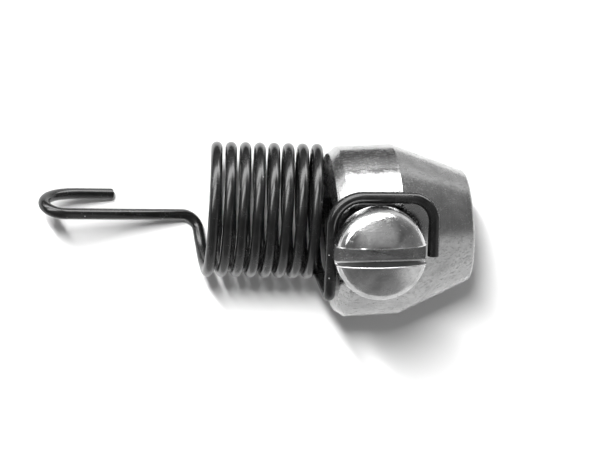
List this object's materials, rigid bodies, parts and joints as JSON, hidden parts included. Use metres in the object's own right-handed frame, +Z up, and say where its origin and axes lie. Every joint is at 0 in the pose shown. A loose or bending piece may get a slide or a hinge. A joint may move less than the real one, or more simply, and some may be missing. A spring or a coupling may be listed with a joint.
{
  "type": "hooked extension spring with screw collar",
  "caption": "Open coiled extension spring in black wire with a hooked end, held by its end loop under a slotted screw on a bored, tapered steel collar.",
  "frame": {"origin": "bottom centre of the bounding box, on the floor the part lies on", "axes": "+X from the spring's hook to the collar's nose, along the collar's axis; +Z up from the floor; +Y completes the right-handed frame, and the screw leans 12 degrees towards -Y"},
  "size_m": [0.06, 0.0254, 0.0309],
  "materials": {
    "collar_steel": "turned, bright",
    "screw_steel": "bright, worn slot",
    "spring_wire": "black oxide, oiled"
  },
  "bodies": {
    "collar": {"collar": "collar_steel"},
    "spacer": {"spacer_washer": "screw_steel"},
    "screw": {"slotted_screw": "screw_steel"},
    "spring_anchor": {"spring_anchor_loop": "spring_wire"},
    "hook": {"spring_hook": "spring_wire"},
    "turn_1": {"spring_turn_1": "spring_wire"},
    "turn_2": {"spring_turn_2": "spring_wire"},
    "turn_3": {"spring_turn_3": "spring_wire"},
    "turn_4": {"spring_turn_4": "spring_wire"},
    "turn_5": {"spring_turn_5": "spring_wire"},
    "turn_6": {"spring_turn_6": "spring_wire"},
    "turn_7": {"spring_turn_7": "spring_wire"},
    "turn_8": {"spring_turn_8": "spring_wire"}
  },
  "joints": [
    {"name": "screw_turn", "type": "hinge", "parent": "spacer", "child": "screw", "pos_m": [0.01547, -0.00072, 0.01197], "axis": [0, -0.2079, 0.9781], "range_deg": [0, 810]},
    {"name": "screw_lift", "type": "slide", "parent": "collar", "child": "spacer", "axis": [0, -0.2079, 0.9781], "range_m": [0, 0.00281]},
    {"name": "spring_swing", "type": "hinge", "parent": "collar", "child": "spring_anchor", "pos_m": [0.01547, -0.00072, 0.01197], "axis": [0, -0.2079, 0.9781], "range_deg": [-3, 3]},
    {"name": "spring_stretch", "type": "slide", "parent": "spring_anchor", "child": "hook", "axis": [-0.9971, 0.0662, -0.0384], "range_m": [-0.0015, 0.02], "stiffness_N_per_m": 1500},
    {"name": "turn_1_spread", "type": "slide", "parent": "spring_anchor", "child": "turn_1", "axis": [-0.9971, 0.0662, -0.0384], "range_m": [-0.00141, 0.01875]},
    {"name": "turn_2_spread", "type": "slide", "parent": "spring_anchor", "child": "turn_2", "axis": [-0.9971, 0.0662, -0.0384], "range_m": [-0.00122, 0.01625]},
    {"name": "turn_3_spread", "type": "slide", "parent": "spring_anchor", "child": "turn_3", "axis": [-0.9971, 0.0662, -0.0384], "range_m": [-0.00103, 0.01375]},
    {"name": "turn_4_spread", "type": "slide", "parent": "spring_anchor", "child": "turn_4", "axis": [-0.9971, 0.0662, -0.0384], "range_m": [-0.00084, 0.01125]},
    {"name": "turn_5_spread", "type": "slide", "parent": "spring_anchor", "child": "turn_5", "axis": [-0.9971, 0.0662, -0.0384], "range_m": [-0.00066, 0.00875]},
    {"name": "turn_6_spread", "type": "slide", "parent": "spring_anchor", "child": "turn_6", "axis": [-0.9971, 0.0662, -0.0384], "range_m": [-0.00047, 0.00625]},
    {"name": "turn_7_spread", "type": "slide", "parent": "spring_anchor", "child": "turn_7", "axis": [-0.9971, 0.0662, -0.0384], "range_m": [-0.00028, 0.00375]},
    {"name": "turn_8_spread", "type": "slide", "parent": "spring_anchor", "child": "turn_8", "axis": [-0.9971, 0.0662, -0.0384], "range_m": [-0.00009, 0.00125]}
  ],
  "couplings": [
    {"joint": "screw_turn", "follows": "screw_lift", "rad_per_m": 5026.5},
    {"joint": "turn_1_spread", "follows": "spring_stretch", "ratio": 0.9375},
    {"joint": "turn_2_spread", "follows": "spring_stretch", "ratio": 0.8125},
    {"joint": "turn_3_spread", "follows": "spring_stretch", "ratio": 0.6875},
    {"joint": "turn_4_spread", "follows": "spring_stretch", "ratio": 0.5625},
    {"joint": "turn_5_spread", "follows": "spring_stretch", "ratio": 0.4375},
    {"joint": "turn_6_spread", "follows": "spring_stretch", "ratio": 0.3125},
    {"joint": "turn_7_spread", "follows": "spring_stretch", "ratio": 0.1875},
    {"joint": "turn_8_spread", "follows": "spring_stretch", "ratio": 0.0625}
  ]
}
